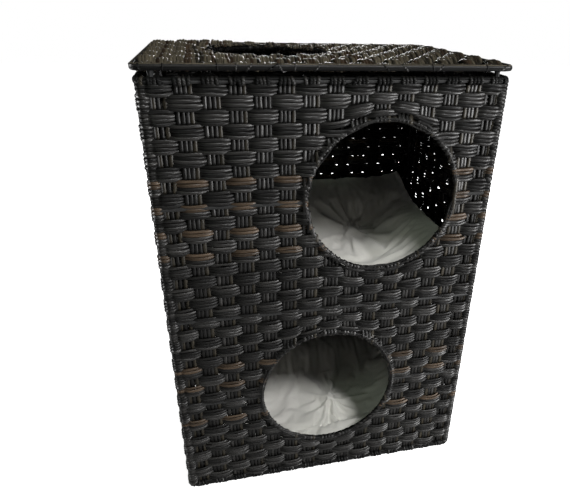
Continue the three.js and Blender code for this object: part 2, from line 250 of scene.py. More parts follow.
# ---- The stage and the camera ----
FLOOR_REACH = 6.0
WHITE = (1.0, 1.0, 1.0)
LIGHTS = [  # name, place, width, power and colour
    ("key", (0.9, -2.56, 3.5), 0.7, 125, WHITE),
    ("side", (1.35, -0.95, 0.22), 0.9, 78, WHITE),
    ("fill", (-1.4, -2.2, 3.2), 1.0, 12, (0.86, 1.0, 0.80)),
    ("left", (-1.8, 0.5, 0.4), 0.7, 45, WHITE),
    ("back", (0.5, 1.9, 0.5), 0.9, 55, WHITE),
]
CAMERA_PLACE = (0.12133, -0.96430, 1.12456)  # from the front left bottom corner, in body heights
CAMERA_TURN = (63.5465, -1.70514, -13.50739)
CAMERA_LENS = 32.39
CAMERA_SENSOR = 36.0
CAMERA_SHIFT = (-0.0901, 0.0147)

# ---- Strand meshes ----

# Sections of a half-round and of a flat strand: across in widths, out in thicknesses.
ROUND = np.array([(-0.5, -0.35), (-0.37, 0.2), (0.0, 0.5), (0.37, 0.2), (0.5, -0.35), (0.0, -0.5)])
FLAT = np.array([(-0.5, -0.35), (-0.43, 0.32), (0.0, 0.5), (0.43, 0.32), (0.5, -0.35), (0.0, -0.5)])


def unit(vectors):
    return vectors / np.maximum(np.linalg.norm(vectors, axis=-1, keepdims=True), 1e-12)


class Strands:
    """Collects strands as rows of quads, and builds them as one mesh object."""

    def __init__(self):
        self.points, self.quads, self.marks, self.tones = [], [], [], []
        self.count = 0

    def add(self, path, out, tone, width=STRAND_WIDTH, thick=STRAND_THICK, twist=0.0, section=ROUND):
        """One strand along a path, whose rounded face looks along out."""
        if len(path) < 2:
            return
        ahead = unit(np.gradient(path, axis=0))
        side = unit(np.cross(ahead, out))
        up = np.cross(side, ahead)
        twist = np.broadcast_to(twist, len(path))[:, None]
        cos, sin = np.cos(twist), np.sin(twist)
        side, up = side * cos + up * sin, up * cos - side * sin
        across = side[:, None] * section[None, :, :1] * width
        outward = up[:, None] * section[None, :, 1:] * thick
        rings = path[:, None] + across + outward
        n, p = rings.shape[:2]
        start = self.count
        i, j = np.meshgrid(np.arange(n - 1), np.arange(p), indexing="ij")
        near = start + i * p + j
        next_j = start + i * p + (j + 1) % p
        quads = np.stack([near, next_j, next_j + p, near + p], -1).reshape(-1, 4)
        last = start + (n - 1) * p
        caps = [(start + 5, start + 2, start + 1, start), (start + 5, start + 4, start + 3, start + 2),
                (last, last + 1, last + 2, last + 5), (last + 2, last + 3, last + 4, last + 5)]
        self.points.append(rings.reshape(-1, 3))
        self.quads += [quads, np.array(caps)]
        steps = np.linalg.norm(np.diff(path, axis=0), axis=1)
        along = np.concatenate([[0], np.cumsum(steps)])
        mark = np.empty((n, p, 3))
        mark[..., 0] = section[None, :, 0]
        mark[..., 1] = along[:, None]
        mark[..., 2] = rng.random()
        self.marks.append(mark.reshape(-1, 3))
        self.tones.append(np.full(n * p, tone, float))
        self.count += n * p

    def build(self, name, material, body, node):
        """Makes the mesh object, with each strand's marks for the wicker material."""
        points = np.concatenate(self.points)
        quads = np.concatenate(self.quads)
        mesh = bpy.data.meshes.new(name)
        mesh.vertices.add(len(points))
        mesh.vertices.foreach_set("co", points.ravel())
        mesh.loops.add(quads.size)
        mesh.loops.foreach_set("vertex_index", quads.ravel())
        mesh.polygons.add(len(quads))
        mesh.polygons.foreach_set("loop_start", np.arange(0, quads.size, 4))
        mesh.polygons.foreach_set("use_smooth", np.ones(len(quads), bool))
        mark = mesh.attributes.new("strand", "FLOAT_VECTOR", "POINT")
        mark.data.foreach_set("vector", np.concatenate(self.marks).ravel())
        tone = mesh.attributes.new("tone", "FLOAT", "POINT")
        tone.data.foreach_set("value", np.concatenate(self.tones))
        mesh.update()
        mesh.validate()
        finish_piece(name, mesh, material, body, node)


def new_object(name, data):
    """An object in the scene that shows some data."""
    made = bpy.data.objects.new(name, data)
    bpy.context.scene.collection.objects.link(made)
    return made


def finish_piece(name, mesh, material, body, *nodes):
    """Links a mesh as a piece that rides on a body and stands for some CAD nodes."""
    piece = new_object(name, mesh)
    mesh.materials.append(material)
    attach(piece, body)
    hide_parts(*nodes)


# ---- Materials ----


def new_material(name):
    material = bpy.data.materials.new(name)
    material.use_nodes = True
    tree = material.node_tree
    tree.nodes.clear()
    return material, Nodes(tree)


class Nodes:
    """Short calls that add and link shader nodes."""

    def __init__(self, tree):
        self.tree = tree

    def add(self, kind, inputs=None, **settings):
        node = self.tree.nodes.new(kind)
        for key, value in settings.items():
            setattr(node, key, value)
        for key, value in (inputs or {}).items():
            if isinstance(value, bpy.types.NodeSocket):
                self.tree.links.new(value, node.inputs[key])
            else:
                node.inputs[key].default_value = value
        return node

    def math(self, operation, a, b=0.0):
        return self.add("ShaderNodeMath", {0: a, 1: b}, operation=operation).outputs[0]

    def scaled(self, value, factor, offset=0.0):
        return self.math("ADD", self.math("MULTIPLY", value, factor), offset)

    def stretched(self, *scales):
        """A vector of values, each given with its scale."""
        inputs = {key: self.math("MULTIPLY", value, scale) for key, (value, scale) in enumerate(scales)}
        return self.add("ShaderNodeCombineXYZ", inputs).outputs[0]

    def bump(self, height, strength, distance):
        inputs = {"Strength": strength, "Distance": distance, "Height": height}
        return self.add("ShaderNodeBump", inputs).outputs[0]

    def span(self, value, low, high, to_low=0.0, to_high=1.0):
        """A value's place between two limits, spread over another pair and clamped to it."""
        inputs = {0: value, 1: low, 2: high, 3: to_low, 4: to_high}
        return self.add("ShaderNodeMapRange", inputs).outputs[0]

    def mix(self, factor, a, b, blend="MIX"):
        node = self.add("ShaderNodeMix", {0: factor, 6: a, 7: b}, data_type="RGBA", blend_type=blend)
        return node.outputs[2]

    def steps(self, factor, places, colours):
        """A ramp that holds each colour from its place to the next."""
        node = self.add("ShaderNodeValToRGB", {0: factor})
        node.color_ramp.interpolation = "CONSTANT"
        for index, (place, colour) in enumerate(zip(places, colours)):
            if index < 2:
                stop = node.color_ramp.elements[index]
                stop.position = place
            else:
                stop = node.color_ramp.elements.new(place)
            stop.color = colour
        return node.outputs[0]

    def noise(self, vector, scale, detail=2.0, rough=0.5):
        inputs = {"Vector": vector, "Scale": scale, "Detail": detail, "Roughness": rough}
        return self.add("ShaderNodeTexNoise", inputs).outputs[0]

    def surface(self, **inputs):
        keys = {key.replace("_", " "): value for key, value in inputs.items()}
        shader = self.add("ShaderNodeBsdfPrincipled", keys)
        self.add("ShaderNodeOutputMaterial", {"Surface": shader.outputs[0]})


def grey(level, warm=0.0):
    return (level * (1 + warm), level, level * (1 - warm), 1.0)


def wicker_material():
    """Ribbed resin strand: the tone picks a colour, streaks run along it and ribs lie along it."""
    material, n = new_material("wicker")
    strand = n.add("ShaderNodeAttribute", attribute_name="strand").outputs["Vector"]
    tone = n.add("ShaderNodeAttribute", attribute_name="tone").outputs["Fac"]
    across, along, chance = n.add("ShaderNodeSeparateXYZ", {0: strand}).outputs
    # One entry for each tone, from black to tan: where its step begins, its two colours and its gloss. The
    # tan's colours are partly painted light: they stand for the light and sheen on the lid's top.
    places = [0.0, 0.1, 0.3, 0.5, 0.7, 0.9]
    dark = [grey(0.003), grey(0.004), grey(0.006, 0.05),
            (0.010, 0.0088, 0.0066, 1), (0.016, 0.011, 0.007, 1), (0.030, 0.026, 0.019, 1)]
    light = [grey(0.006), grey(0.010, 0.05), grey(0.017, 0.06),
             (0.026, 0.0222, 0.0160, 1), (0.056, 0.039, 0.026, 1), (0.112, 0.096, 0.069, 1)]
    gloss = [grey(0.04), grey(0.10), grey(0.24), grey(0.14), grey(0.16), grey(0.08)]
    low, high, gloss = (n.steps(tone, places, colours) for colours in (dark, light, gloss))
    streaks = n.noise(n.stretched((across, 5.0), (along, 26.0), (chance, 40.0)), 1.0, 4.0, 0.6)
    colour = n.mix(n.span(streaks, 0.36, 0.66), low, high)
    level = n.scaled(chance, 0.6, 0.7)
    shade = n.add("ShaderNodeCombineColor", {key: level for key in range(3)}).outputs[0]
    colour = n.mix(1.0, colour, shade, "MULTIPLY")
    ribs = n.math("SINE", n.math("MULTIPLY", across, 2 * math.pi * 5))
    grain = n.noise(n.stretched((across, 14.0), (along, 300.0), (chance, 70.0)), 1.0, 3.0)
    height = n.math("ADD", n.math("MULTIPLY", ribs, 0.5), n.math("MULTIPLY", grain, 1.2))
    n.surface(Base_Color=colour, Roughness=n.scaled(grain, 0.16, 0.30), Specular_IOR_Level=gloss,
              Normal=n.bump(height, 0.5, 0.00012))
    return material


def wire_material():
    """Black powder coat on steel wire."""
    material, n = new_material("coated_wire")
    place = n.add("ShaderNodeTexCoord").outputs["Object"]
    speckle = n.noise(place, 900.0, 3.0)
    n.surface(Base_Color=n.mix(speckle, grey(0.008), grey(0.02)), Roughness=n.scaled(speckle, 0.2, 0.35),
              Specular_IOR_Level=0.2, Normal=n.bump(speckle, 0.2, 0.00005))
    return material


def rubber_material():
    """Moulded black rubber with a fine tooth."""
    material, n = new_material("rubber")
    place = n.add("ShaderNodeTexCoord").outputs["Object"]
    tooth = n.noise(place, 1400.0, 4.0)
    n.surface(Base_Color=n.mix(tooth, grey(0.004), grey(0.010)), Roughness=0.75, Specular_IOR_Level=0.2,
              Normal=n.bump(tooth, 0.3, 0.00005))
    return material


def cloth_material():
    """Brushed off-white cloth: fine weave, soft fuzz and faint mottling."""
    material, n = new_material("cushion_cloth")
    place = n.add("ShaderNodeTexCoord").outputs["Object"]
    thread = {"Vector": place, "Scale": 420.0, "Distortion": 1.2}
    warp, weft = (n.add("ShaderNodeTexWave", thread, bands_direction=way).outputs[1] for way in "XY")
    height = n.math("ADD", n.math("MULTIPLY", warp, weft), n.noise(place, 700.0, 4.0))
    mottle = n.noise(place, 14.0, 3.0)
    n.surface(Base_Color=n.mix(mottle, (0.60, 0.585, 0.545, 1), (0.68, 0.67, 0.63, 1)), Roughness=0.95,
              Specular_IOR_Level=0.2, Sheen_Weight=0.25, Sheen_Roughness=0.6,
              Normal=n.bump(height, 0.35, 0.0004))
    return material


# ---- The walls' middle surface ----


RUN_X = 2 * (WALL_X - CORNER)  # the straight part of the front and the back, and of the sides
RUN_Y = 2 * (WALL_Y - CORNER)
ARC = CORNER * math.pi / 2
AROUND = 2 * (RUN_X + RUN_Y) + 4 * ARC
CORNERS = [(-1, -1), (1, -1), (1, 1), (-1, 1)]


def outline():
    """The corners and runs of the walls' middle surface: start length, kind, origin and direction."""
    pieces = []
    s = -ARC / 2
    for quarter, (sx, sy) in enumerate(CORNERS):
        turn = quarter * math.pi / 2
        origin = np.array([sx * (WALL_X - CORNER), sy * (WALL_Y - CORNER)])
        pieces.append((s, "arc", origin, turn))
        pieces.append((s + ARC, "run", origin, turn))
        s += ARC + (RUN_Y if quarter % 2 else RUN_X)
    return pieces


def stake_lengths():
    """The arc length of each corner and stake: stakes are evenly spaced over the outside of each wall."""
    lengths = []
    s = 0.0
    for wall, (begin, end) in enumerate(WALLS.values()):
        half, middle, run = (HALF_Y, WALL_Y, RUN_Y) if wall % 2 else (HALF_X, WALL_X, RUN_X)
        pitches = end - begin
        lengths.append(s)
        for k in range(1, pitches):
            across = -half + 2 * half * (k - 1 + END_PITCH) / (pitches - 2 + 2 * END_PITCH)
            if wall == 0 and k < EASED_STAKES:
                across += EASE * math.sin(math.pi * k / EASED_STAKES)
            lengths.append(s + ARC / 2 + across + (middle - CORNER))
        s += ARC + run
    lengths.append(s)
    return np.array(lengths)


OUTLINE = outline()
OUTLINE_STARTS = np.array([piece[0] for piece in OUTLINE])
STAKE_LENGTHS = stake_lengths()
CORNER_COLUMNS = [begin for begin, end in WALLS.values()] + [LOOP_PITCHES]


def outline_point(s):
    """Place and outward normal at arc lengths along the middle surface, from the front left corner."""
    s = (s + ARC / 2) % AROUND - ARC / 2
    index = np.searchsorted(OUTLINE_STARTS, s, side="right") - 1
    place = np.empty(s.shape + (2,))
    out = np.empty(s.shape + (2,))
    for k, (begin, kind, origin, turn) in enumerate(OUTLINE):
        here = index == k
        along = s[here] - begin
        if kind == "arc":
            angle = turn - math.pi + along / CORNER
            normal = np.stack([np.cos(angle), np.sin(angle)], -1)
            place[here] = origin + CORNER * normal
        else:
            normal = np.array([math.sin(turn), -math.cos(turn)])
            ahead = np.array([math.cos(turn), math.sin(turn)])
            place[here] = origin + CORNER * normal + along[:, None] * ahead
        out[here] = normal
    return place, out


def wall_length(column):
    return np.interp(column, np.arange(LOOP_PITCHES + 1), STAKE_LENGTHS)


def rim_point(column, z, out):
    """World points and outward normals at a column, a height and a distance off the middle surface."""
    place, normal = outline_point(wall_length(column))
    points = np.empty(place.shape[:-1] + (3,))
    points[..., :2] = place + normal * out[..., None]
    points[..., 2] = z
    normals = np.zeros_like(points)
    normals[..., :2] = normal
    return points, normals


def wall_point(column, z, out):
    """The same for a strand of a wall, which the posts push out at the corners."""
    corner = sum(np.exp(-((column - k) / CORNER_REACH) ** 2) for k in CORNER_COLUMNS)
    return rim_point(column, z, out * (1 - corner) + CORNER_OUT * corner)


def smooth(x):
    x = np.clip(x, 0, 1)
    return x * x * (3 - 2 * x)


def crest(phase):
    """How far a course stands off, -1 to 1: rounded crests with a quick pass between stakes."""
    return np.tanh(1.6 * np.cos(math.pi * phase)) / math.tanh(1.6)


def samples(pitches):
    """The columns at which a course is sampled, closer together where it passes between stakes."""
    return np.append((np.arange(pitches)[:, None] + PASS).ravel(), pitches)


FAR = 1.0  # a distance from any opening that is too far to matter


class Panel:
    """A woven surface: stakes at whole columns, courses across them, and round openings."""

    def __init__(self, place, along, doors, ring, turn):
        self.place = place  # (columns, across, out) to world points and outward normals
        self.along = along  # columns to metres along the courses, nan where no opening can be
        self.doors = doors  # (along, across) of each opening's centre
        self.ring = ring
        self.turn = turn  # how far from the ring's middle line a strand turns over it

    def clear(self, along, across):
        """Distance from each point to the nearest opening's ring, negative inside it."""
        gap = np.full(len(along), FAR)
        for door in self.doors:
            away = np.hypot(along - door[0], across - door[1]) - self.ring
            gap = np.where(np.isnan(away), gap, np.minimum(gap, away))
        return gap

    def bow(self, along, across):
        """Moves points away from each opening, so that nearby courses bow round its ring."""
        edge = self.ring + BOW_EDGE
        inner, outer = BOW_KEEP * self.ring, self.ring + BOW_REACH
        for door in self.doors:
            dx = np.nan_to_num(np.abs(along - door[0]), nan=FAR)
            dz = across - door[1]
            arch = np.sqrt(np.maximum(edge**2 - dx**2, 0.0))
            low = inner + np.logaddexp(0, (arch - inner) / BOW_SOFT) * BOW_SOFT
            moved = low + (np.abs(dz) - inner) / (outer - inner) * (outer - low)
            near = (np.abs(dz) > inner) & (np.abs(dz) < outer)
            across = np.where(near, door[1] + np.sign(dz) * moved, across)
        return across

    def strand(self, strands, columns, across, out, twist, **look):
        """Adds one strand, broken at each opening, where it turns over the ring."""
        gap = self.clear(self.along(columns), across)
        if (gap < TURN_REACH).any():
            steps = finer(gap < TURN_REACH)
            columns, across, out, twist = (np.interp(steps, np.arange(len(gap)), values)
                                           for values in (columns, across, out, twist))
            gap = self.clear(self.along(columns), across)
            over = np.sqrt(np.maximum(self.turn**2 - np.minimum(gap, 0.0)**2, 0.0))
            out = over + (out - over) * smooth(gap / TURN_REACH)
        points, normals = self.place(columns, across, out)
        for begin, end in runs_of(gap > -self.turn):
            part = slice(begin, end)
            strands.add(points[part], normals[part], twist=twist[part], **look)


def finer(near, parts=6):
    """Positions along a list, with more of them wherever near holds."""
    steps = [np.arange(len(near), dtype=float)]
    close = np.flatnonzero(near[:-1] | near[1:])
    steps += [close + part / parts for part in range(1, parts)]
    return np.unique(np.concatenate(steps))


def runs_of(kept):
    """The stretches of True in a list, as pairs of start and end."""
    edges = np.diff(np.concatenate([[0], kept.astype(int), [0]]))
    return zip(np.flatnonzero(edges == 1), np.flatnonzero(edges == -1))


def smooth_noise(columns, sites, amount):
    """A random value at each site, eased between sites, for positions along a strand."""
    values = rng.normal(0, amount, sites + 1)
    low = np.clip(np.floor(columns).astype(int), 0, sites)
    high = np.clip(low + 1, 0, sites)
    t = smooth(columns - low)
    return values[low] * (1 - t) + values[high] * t


def wall_packing(columns):
    """How far a course's strands are spread: on the back wall they leave slits between courses."""
    begin, end = WALLS["back"]
    past = (columns - begin - BACK_TIGHTER_FROM) / BACK_TIGHTER_OVER
    slack = BACK_SLACK * (1 - BACK_TIGHTER * smooth(past))
    return FULL_PACKING - slack * smooth(columns - begin) * smooth(end - columns)


def course_height(i, columns):
    """The height of a wall's course, which climbs a little over the back wall."""
    begin, end = WALLS["back"]
    climb = BACK_CLIMB * smooth(columns - begin) * smooth(end - columns) * smooth((i - 0.5) / CLIMB_COURSES)
    return FIRST_COURSE - (i - 1) * COURSE_PITCH + climb


def weave_course(panel, parts, columns, sites, row, across, tones, relief, packing):
    """One course: a bundle of strands over even and under odd stakes, counted from its row."""
    def vary(amount):
        return smooth_noise(columns * 2, 2 * sites, amount)

    phase = columns + row
    dive = np.sin(math.pi * phase) * np.abs(np.cos(math.pi * phase))
    spread = (1.0 + CREST_SPREAD * np.abs(crest(phase)) + DIVE_SPREAD * dive) * packing(columns)
    drift = smooth_noise(columns, sites, COURSE_DRIFT)
    squeeze = 1 + vary(COURSE_SQUEEZE)
    half = (BUNDLE - 1) / 2 * COURSE_SPACING
    for lane, tone in zip(LANES, tones):
        offset = across + lane * half * spread * squeeze + drift + vary(COURSE_JITTER)
        offset = panel.bow(panel.along(columns), offset)
        lift = crest(phase + vary(COURSE_SHIFT))
        raised = np.maximum(lift, 0)
        out = relief * lift - CREST_ROUND * lane**2 * raised + vary(COURSE_RISE)
        tilt = -CREST_LEAN * lane * raised + vary(COURSE_TURN)
        for strands, begin, end in parts:
            part = (columns >= begin) & (columns <= end)
            shade = tone(begin) if callable(tone) else tone
            panel.strand(strands, columns[part], offset[part], out[part], tone=shade, twist=tilt[part])


def weave_stake(panel, strands, column, pitch, rows, row_phase, tones, spread=1.0):
    """One stake: a bundle of strands along the rows, pushed in and out a little by the courses."""
    sites = len(rows) // 2
    steps = np.arange(len(rows)) / 2
    for lane, tone in zip(LANES, tones):
        offset = -lane * (BUNDLE - 1) / 2 * spread * STAKE_SPACING / pitch
        wobble = smooth_noise(steps, sites, STAKE_WOBBLE) / pitch
        out = -STAKE_DEPTH - STAKE_SWAY * np.cos(math.pi * (row_phase + column))
        out = out + smooth_noise(steps, sites, STAKE_RISE)
        panel.strand(strands, column + offset + wobble, rows, out, tone=tone, section=FLAT,
                     width=STAKE_WIDTH * spread, thick=STAKE_THICK,
                     twist=smooth_noise(steps, sites, STAKE_TURN))


# ---- Walls ----


def front_along(columns):
    points = wall_point(columns, 0.0, np.zeros_like(columns))[0]
    return np.where((columns > 0) & (columns < FRONT_PITCHES), points[:, 0], np.nan)


DOORS = [(door[0], door[2]) for door in (UPPER_DOOR, LOWER_DOOR)]


def dark_tone():
    return GRAPHITE if rng.random() < 0.5 else CHARCOAL


def dark_tones(_course=None):
    """The tones of a plain course's strands, the same for every course."""
    return [dark_tone() for _ in range(BUNDLE)]


def course_tones(i):
    """The tones of a course's strands, top first. Brown courses keep dark strands below."""
    tones = dark_tones()
    if i in BROWN_ALL_ROUND:
        tones[0] = tones[1] = BROWN
    if i in BROWN_LEFT or i in BROWN_RIGHT:
        def by_wall(begin, plain=dark_tone()):
            on_left = begin in (WALLS["front"][0], WALLS["left"][0])
            return BROWN if (i in BROWN_LEFT) == on_left else plain
        tones[0] = tones[1] = by_wall
    return tones


def stake_tones():
    """The tones of a stake's strands, left to right as seen from outside."""
    tones = [CHARCOAL if rng.random() < 0.7 else GRAPHITE for _ in range(BUNDLE)]
    if rng.random() < 0.75:
        tones[-1] = OLIVE
    if rng.random() < 0.12:
        tones[int(rng.integers(0, 3))] = OLIVE
    return tones


def build_walls(material):
    panel = Panel(wall_point, front_along, DOORS, DOOR_RING, DOOR_WIRE + TURN_OVER)
    columns = samples(LOOP_PITCHES)
    courses = {wall: Strands() for wall in WALLS}
    parts = [(courses[wall], begin, end) for wall, (begin, end) in WALLS.items()]
    # Beside the lower door the two halves of a course differ in tone.
    middle = FRONT_PITCHES // 2
    split = [(courses["front"], 0, middle), (courses["front"], middle, FRONT_PITCHES)] + parts[1:]
    for i in range(1, COURSES + 1):
        halves = i in BROWN_LEFT or i in BROWN_RIGHT
        weave_course(panel, split if halves else parts, columns, LOOP_PITCHES, i, course_height(i, columns),
                     course_tones(i), CREST, wall_packing)
    rows = np.linspace(BOTTOM_Z, TOP_Z, 2 * COURSES + 4)
    row_phase = (FIRST_COURSE - rows) / COURSE_PITCH + 1
    for wall, (begin, end) in WALLS.items():
        stakes = Strands()
        for column in range(begin + 1, end):
            pitch = wall_length(column + 0.5) - wall_length(column - 0.5)
            weave_stake(panel, stakes, column, pitch, rows, row_phase, stake_tones(), STAKE_SPREAD[wall])
        courses[wall].build(f"{wall}_courses", material, "house", f"{wall}_weave")
        stakes.build(f"{wall}_stakes", material, "house", f"{wall}_weave")


# ---- Flat panels: lid, shelf and floor ----


def flat_panel(middle, half_y, columns, doors, ring, bulge):
    """A level panel whose courses run along Y and whose stakes run along X."""
    pitch = 2 * half_y / columns

    def along(column):
        return middle[1] - half_y + column * pitch

    def place(column, across, out):
        points = np.empty(np.shape(column) + (3,))
        points[..., 0] = across
        points[..., 1] = along(column)
        edge = np.minimum(column, columns - column)
        away = np.hypot(points[..., 0] - BULGE[0], points[..., 1] - BULGE[1]) / BULGE_REACH
        rise = bulge * np.exp(-(away**2)) * smooth(edge / 1.5)
        points[..., 2] = middle[2] + rise + out * (0.25 + 0.75 * smooth(edge / 0.45))
        normals = np.zeros_like(points)
        normals[..., 2] = 1.0
        return points, normals

    openings = [(door[1], door[0]) for door in doors]
    return Panel(place, along, openings, ring, LID_WIRE + LID_TURN_OVER), pitch


def build_flat(name, material, body, columns, tones, relief, doors=(), ring=0.0, bulge=0.0, notches=()):
    """A level weave over the box of its CAD node."""
    node = f"{name}_weave"
    low, high = box(node)
    middle = (low + high) / 2
    half_x, half_y = (high - low)[:2] / 2
    panel, pitch = flat_panel(middle, half_y, columns, doors, ring, bulge)
    courses, stakes = Strands(), Strands()
    spread = samples(columns)
    row_pitch = 2 * half_x / FLAT_COURSES
    notch_half = size("hinge_lashing_left")[0] / 2 + NOTCH_ROOM + row_pitch / 2

    def packing(places):
        return np.full_like(places, FLAT_PACKING * row_pitch / COURSE_PITCH)

    for i in range(FLAT_COURSES):
        across = middle[0] - half_x + (i + 0.5) * row_pitch
        notched = any(abs(across - x) < notch_half for x in notches)
        end = columns - NOTCH_DEPTH if notched else columns
        weave_course(panel, [(courses, 0, end)], spread, columns, i, across, tones(i), relief, packing)
    marks = np.linspace(middle[0] - half_x, middle[0] + half_x, 2 * FLAT_COURSES + 1)
    phase = (marks - middle[0] + half_x) / row_pitch - 0.5
    for column in range(1, columns):
        weave_stake(panel, stakes, column, pitch, marks, phase, [CHARCOAL] * BUNDLE)
    courses.build(f"{name}_courses", material, body, node)
    stakes.build(f"{name}_stakes", material, body, node)


def lid_tones(i):
    """The lid's courses are mostly tan, a tone partly painted for the light and sheen on the lid's top,
    some with brown or olive strands among them.
    """
    tan, brown = (0.75, 0.12) if i % 2 == 0 else (0.45, 0.35)
    picks = rng.random(BUNDLE)
    return [LIT_TAN if pick < tan else BROWN if pick < tan + brown else OLIVE for pick in picks]


def build_lid(material):
    lashings = [centre(f"hinge_lashing_{side}")[0] for side in ("left", "right")]
    build_flat("lid", material, "lid", LID_COLUMNS, lid_tones, LID_RELIEF,
               [LID_OPENING], LID_RING, BULGE_RISE, lashings)


# ---- Wrapped rims and rings ----

UP = np.array([0.0, 0.0, 1.0])
FORWARD = np.array([0.0, -1.0, 0.0])
SIDEWAYS = np.array([1.0, 0.0, 0.0])


def wrap_loop(strands, middle, ahead, out, radius, lean, tone, cut):
    """One turn of strand round a tube, leaning along it by an amount."""
    theta = np.linspace(0, 2 * math.pi, 15)
    up = np.cross(ahead, out)
    outward = np.cos(theta)[:, None] * out + np.sin(theta)[:, None] * up
    path = middle + radius * outward + (lean * np.sin(theta))[:, None] * ahead
    strands.add(path, outward, tone, *cut)


def add_ring_rails(strands, middle, ring, axis, radius, angles):
    """Strands laid along a ring over its turns, at angles round its section."""
    theta = np.linspace(0, 2 * math.pi, 97)[:, None]
    out = np.cos(theta) * SIDEWAYS + np.sin(theta) * np.cross(axis, SIDEWAYS)
    for angle in angles:
        turn = math.radians(angle)
        wave = sum(rng.normal(0, 0.55 * MM) * np.sin(k * theta + rng.uniform(0, 6)) for k in (2, 5, 9, 14))
        outward = math.cos(turn) * out + math.sin(turn) * axis
        beside = np.cross(outward, np.cross(axis, out))
        path = middle + ring * out + (radius + 0.5 * wave) * outward + wave * beside
        strands.add(path, outward, CHARCOAL, *RING_RAIL_SIZE)


def build_ring_wraps(name, material, body, middle, ring, axis, wire, turns_look, pitch, rails=()):
    """The turns of strand round an opening's ring, set side by side, and the rails over them."""
    strands = Strands()
    over, cut = turns_look
    add_ring_rails(strands, middle, ring, axis, wire + over + RAIL_OVER, rails)
    turns = int(round(2 * math.pi * ring / pitch))
    second = np.cross(axis, SIDEWAYS)
    for k in range(turns):
        angle = 2 * math.pi * (k + rng.normal(0, 0.12)) / turns
        out = math.cos(angle) * SIDEWAYS + math.sin(angle) * second
        ahead = np.cross(axis, out)
        lean = rng.normal(0, 1.6 * MM)
        radius = wire + over + rng.normal(0, 0.25 * MM)
        wrap_loop(strands, middle + ring * out, ahead, out, radius, lean, rim_tone(), cut)
    strands.build(f"{name}_wraps", material, body, f"{name}_binding")


def add_rail(strands, at, columns, z, radius, angle, tone, cut):
    """A strand laid along a rim wire, at an angle round its section."""
    turn = math.radians(angle)
    wobble = smooth_noise(columns, int(columns[-1]), 0.25 * MM)
    out = (radius + wobble) * math.cos(turn)
    points, normals = at(columns, z + (radius + wobble) * math.sin(turn), out)
    outward = normals * math.cos(turn) + math.sin(turn) * UP
    strands.add(points, outward, tone, *cut)


def rim_tone():
    chance = rng.random()
    return OLIVE if chance < 0.03 else GRAPHITE if chance < 0.12 else CHARCOAL if chance < 0.4 else BLACK


def build_body_rim(name, material, z, angles, cords=()):
    """A rim of the body: strands along the wire and a bundle wrapped over it at each stake."""
    strands = Strands()
    columns = np.arange(LOOP_PITCHES * 4 + 1) / 4
    begin, end = WALLS["back"]
    back = columns[(columns > begin + 0.4) & (columns < end - 0.4)]
    for radius, places in cords:
        for angle in places:
            add_rail(strands, rim_point, back, z, radius, angle, BLACK, CORD_SIZE)
    for angle in angles:
        add_rail(strands, rim_point, columns, z, WIRE + RAIL_OVER, angle, BLACK, RAIL_SIZE)
    over, cut = RIM_TURNS
    for column in range(LOOP_PITCHES):
        for lane in LANES:
            spot = np.array([column + lane * TURN_SPACING + rng.normal(0, 0.012)])
            point, normal = rim_point(spot, z, np.zeros(1))
            ahead = np.cross(UP, normal[0])
            radius = WIRE + over + rng.normal(0, 0.15 * MM)
            lean = rng.normal(0, 0.9 * MM)
            wrap_loop(strands, point[0], ahead, normal[0], radius, lean, rim_tone(), cut)
    strands.build(f"{name}_strands", material, "house", f"{name}_binding")


def lid_edge_point(column, z, out):
    """A point on the lid's rim wire, where a column runs 0 to 4 round its four sides."""
    low, high = box("lid_rim_wire")
    middle = (low + high) / 2
    half = (high - low)[:2] / 2 - LID_WIRE
    runs = [2 * (half[0] - CORNER), 2 * (half[1] - CORNER)] * 2
    column = column % 4
    side = np.minimum(column.astype(int), 3)
    points = np.empty(column.shape + (3,))
    normals = np.zeros_like(points)
    for k, corner in enumerate(CORNERS):
        here = side == k
        along = (column[here] - k) * (ARC + runs[k])
        turn = k * math.pi / 2
        origin = middle[:2] + np.array(corner) * (half - CORNER)
        angle = turn - math.pi + np.minimum(along, ARC) / CORNER
        normal = np.stack([np.cos(angle), np.sin(angle)], -1)
        normal[along >= ARC] = (math.sin(turn), -math.cos(turn))
        ahead = np.array([math.cos(turn), math.sin(turn)])
        past = np.maximum(along - ARC, 0)[:, None] * ahead
        points[here, :2] = origin + (CORNER + out[here][:, None]) * normal + past
        normals[here, :2] = normal
    points[..., 2] = z
    return points, normals


def build_lid_rim(material):
    """The lid's edge: strands along its wire, and a turn over them now and then."""
    strands = Strands()
    steps = np.linspace(0, 4, 400)
    for over, cut, rails in LID_RAILS:
        for angle, tone in rails:
            add_rail(strands, lid_edge_point, steps, LID_Z, LID_WIRE + over, angle, tone, cut)
    over, cut = LID_TURNS
    for k in range(LID_TURN_PLACES):
        if rng.random() < LID_PLACES_EMPTY:
            continue
        spot = np.array([4 * (k + rng.random()) / LID_TURN_PLACES])
        point, normal = lid_edge_point(spot, LID_Z, np.zeros(1))
        ahead = np.cross(UP, normal[0])
        tone = GRAPHITE if rng.random() < 0.5 else BLACK
        lean = rng.normal(0, 3 * MM)
        wrap_loop(strands, point[0], ahead, normal[0], LID_WIRE + over, lean, tone, cut)
    strands.build("lid_rim_strands", material, "lid", "lid_rim_binding")


# ---- Cushions ----


def angle_between(a, b):
    return np.abs((a - b + math.pi) % (2 * math.pi) - math.pi)


def from_tuft(u, v, pad):
    """Each point's place as seen from the pad's tuft, over half the pad's depth."""
    return (u - pad["tuft"][0]) * TUFT_STRETCH, v - pad["tuft"][1]


